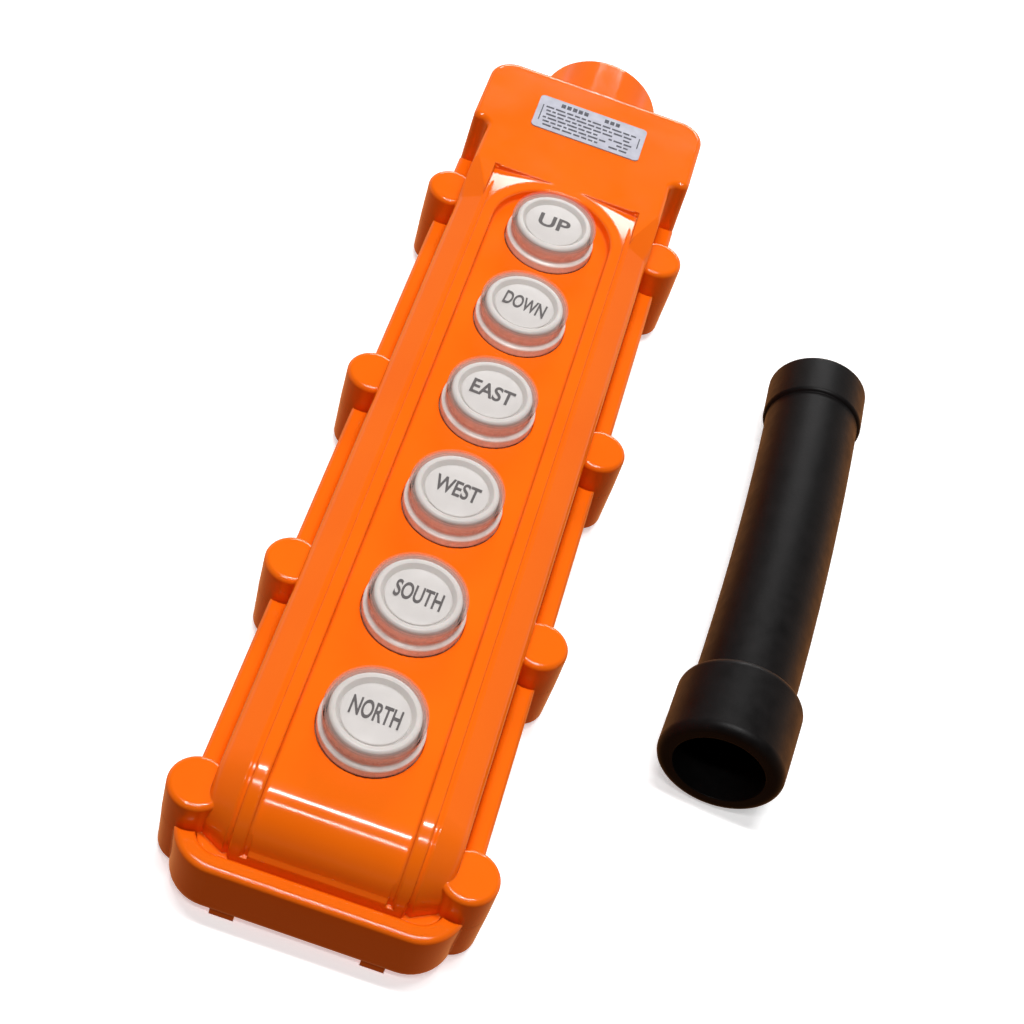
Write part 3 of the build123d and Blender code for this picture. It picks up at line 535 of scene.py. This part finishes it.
def label_bars():
    """Word-like bars: two heavy groups on top, then rows of fine ones with a gap in the middle."""
    left, top = label_low.x + 2.2, label_high.y - 1.9
    places = [(left + 4.2 + 1.55 * k, top, 1.15, 1.5) for k in range(5)]
    places += [(left + 16.0 + 1.5 * k, top, 1.1, 1.4) for k in range(3)]
    for row in range(BAR_ROWS):
        x, y = left + 0.3 * (row % 3), top - 2.2 - BAR_PITCH * row
        k = row
        while x < label_high.x - 3.2:
            width = BAR_WORDS[k % len(BAR_WORDS)]
            gap = DIVIDER_GAP if abs(x - DIVIDER_X) < 1.2 and row > 1 else BAR_GAP
            width = min(width, label_high.x - 2.2 - x)
            places.append((x + width / 2, y, width, BAR_HEIGHT))
            x += width + gap
            k += 2
    places.append((label_low.x + 1.4, top - 5.0, 0.3, 6.4))
    places.append((label_high.x - 1.3, top - 4.4, 0.3, 4.2))
    return places


new_piece(
    "label_print", bars(label_bars(), label_high.z, PRINT_T), "housing", label_ink.material,
).data.shade_flat()

# ---- floor, light and camera ---------------------------------------------------------------------

FLOOR_GLOW = 0.48  # keeps the paper white where the station shades it
FLOOR_GAP = 0.00005  # metres under the lowest point of the part

# By the sine of the elevation: the glow of the housing from below, and the room above.
SKY = (
    (-1.0, (0.60, 0.23, 0.08)),
    (-0.12, (1.6, 0.68, 0.26)),
    (0.0, (1.0, 0.72, 0.55)),
    (0.04, (0.9, 0.9, 0.9)),
    (0.2, (0.35, 0.35, 0.35)),
    (0.50, (0.22, 0.22, 0.22)),
    (0.60, (0.02, 0.02, 0.02)),
    (1.0, (0.1, 0.1, 0.1)),
)
SKY_FRONT = 0.14  # share of that light in front of the station
SKY_TURN = (-0.6, 0.3)  # the Y of a direction where the front ends, and where the full light begins
BACKDROP = (0.9, 0.9, 0.9, 1)

STRIPS = (  # name, place, length and width in metres, watts
    ("strip_overhead", (0.0, 0.03, 1.2), 0.55, 0.06, 9.8),
    ("strip_front", (0.0, -0.44, 1.1), 0.55, 0.06, 3.4),
    ("window_behind", (0.0, 1.25, 0.61), 0.6, 0.26, 6.5),
)

CAMERA_PLACE = (0.0065947, -0.2830822, 0.3483898)
CAMERA_TURN = (38.6623, -12.9555, 14.3868)  # degrees
CAMERA_LENS = 68.387  # mm, on a sensor 36 mm wide


def add_floor():
    mesh = bmesh.new()
    bmesh.ops.create_grid(mesh, x_segments=1, y_segments=1, size=3.0)
    data = bpy.data.meshes.new("floor")
    mesh.to_mesh(data)
    mesh.free()
    made = Finish("floor_paper")
    made.colour(made.noise(300), (0.90, 0.90, 0.90), (0.93, 0.93, 0.93))
    made.roughness(made.noise(40), 0.75, 0.85)
    made.shader.inputs["Emission Color"].default_value = (1, 1, 1, 1)
    made.shader.inputs["Emission Strength"].default_value = FLOOR_GLOW
    data.materials.append(made.material)
    floor = bpy.data.objects.new("floor", data)
    floor.location.z = cad_bounds[0][2] - FLOOR_GAP
    floor.visible_diffuse = False
    floor.visible_glossy = False
    bpy.context.scene.collection.objects.link(floor)


def add_strip(name, location, length, width, power):
    """A long soft light, across the station, that looks at its middle."""
    light = bpy.data.lights.new(name, "AREA")
    light.shape = "RECTANGLE"
    light.size = length
    light.size_y = width
    light.energy = power
    strip = bpy.data.objects.new(name, light)
    strip.location = location
    strip.rotation_euler = (-Vector(location)).to_track_quat("-Z", "Y").to_euler()
    bpy.context.scene.collection.objects.link(strip)


def add_world():
    """Bright low down behind the station, dim in front and overhead, and plain and pale to the camera."""
    world = bpy.data.worlds.new("studio")
    bpy.context.scene.world = world
    world.use_nodes = True
    nodes, links = world.node_tree.nodes, world.node_tree.links
    coordinates = nodes.new("ShaderNodeTexCoord")
    split = nodes.new("ShaderNodeSeparateXYZ")
    ramp = nodes.new("ShaderNodeValToRGB")
    while len(ramp.color_ramp.elements) < len(SKY):
        ramp.color_ramp.elements.new(0.5)
    for element, (position, colour) in zip(ramp.color_ramp.elements, SKY):
        element.position = (position + 1) / 2
        element.color = (*colour, 1)
    share = nodes.new("ShaderNodeMapRange")
    share.inputs["From Min"].default_value = -1.0
    links.new(coordinates.outputs["Generated"], split.inputs["Vector"])
    links.new(split.outputs["Z"], share.inputs["Value"])
    links.new(share.outputs["Result"], ramp.inputs["Fac"])
    behind = nodes.new("ShaderNodeMapRange")
    behind.inputs["From Min"].default_value, behind.inputs["From Max"].default_value = SKY_TURN
    behind.inputs["To Min"].default_value = SKY_FRONT
    links.new(split.outputs["Y"], behind.inputs["Value"])
    links.new(ramp.outputs["Color"], nodes["Background"].inputs["Color"])
    links.new(behind.outputs["Result"], nodes["Background"].inputs["Strength"])
    plain = nodes.new("ShaderNodeBackground")
    plain.inputs["Color"].default_value = BACKDROP
    seen = nodes.new("ShaderNodeMixShader")
    links.new(nodes.new("ShaderNodeLightPath").outputs["Is Camera Ray"], seen.inputs["Fac"])
    links.new(nodes["Background"].outputs["Background"], seen.inputs[1])
    links.new(plain.outputs["Background"], seen.inputs[2])
    links.new(seen.outputs["Shader"], nodes["World Output"].inputs["Surface"])


add_floor()
add_world()
for strip in STRIPS:
    add_strip(*strip)

lens = bpy.data.cameras.new("camera")
lens.lens = CAMERA_LENS
lens.sensor_width = 36.0
lens.clip_start = 0.01
camera = bpy.data.objects.new("camera", lens)
camera.location = CAMERA_PLACE
camera.rotation_euler = [math.radians(angle) for angle in CAMERA_TURN]
bpy.context.scene.collection.objects.link(camera)
bpy.context.scene.camera = camera
bpy.context.scene.view_settings.view_transform = "Standard"
